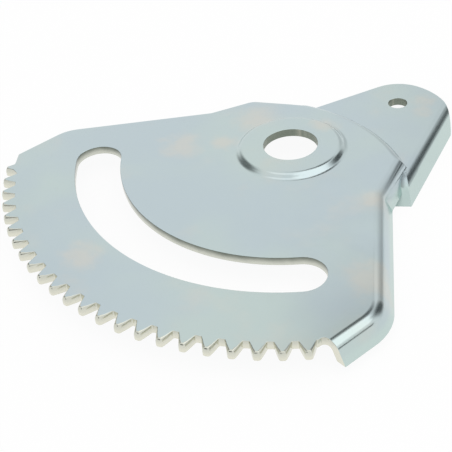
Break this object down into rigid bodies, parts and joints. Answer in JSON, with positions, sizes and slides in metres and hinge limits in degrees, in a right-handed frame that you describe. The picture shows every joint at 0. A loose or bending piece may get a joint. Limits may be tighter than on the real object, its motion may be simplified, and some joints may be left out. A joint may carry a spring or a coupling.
{
  "type": "sector gear",
  "caption": "Fan-shaped sector gear pressed from plated sheet steel, with a toothed rim, a curved slot, a raised pivot boss, a flanged side and an offset arm with a rod hole.",
  "frame": {"origin": "on the pivot axis, level with the top face of the fan", "axes": "+Z along the pivot bore and out of the boss, -Y towards the middle tooth, +Y towards the arm"},
  "size_m": [0.2477, 0.261, 0.0179],
  "materials": {
    "zinc_steel": "satin zinc plating"
  },
  "bodies": {
    "root": {"sector_gear": "zinc_steel"}
  },
  "joints": []
}
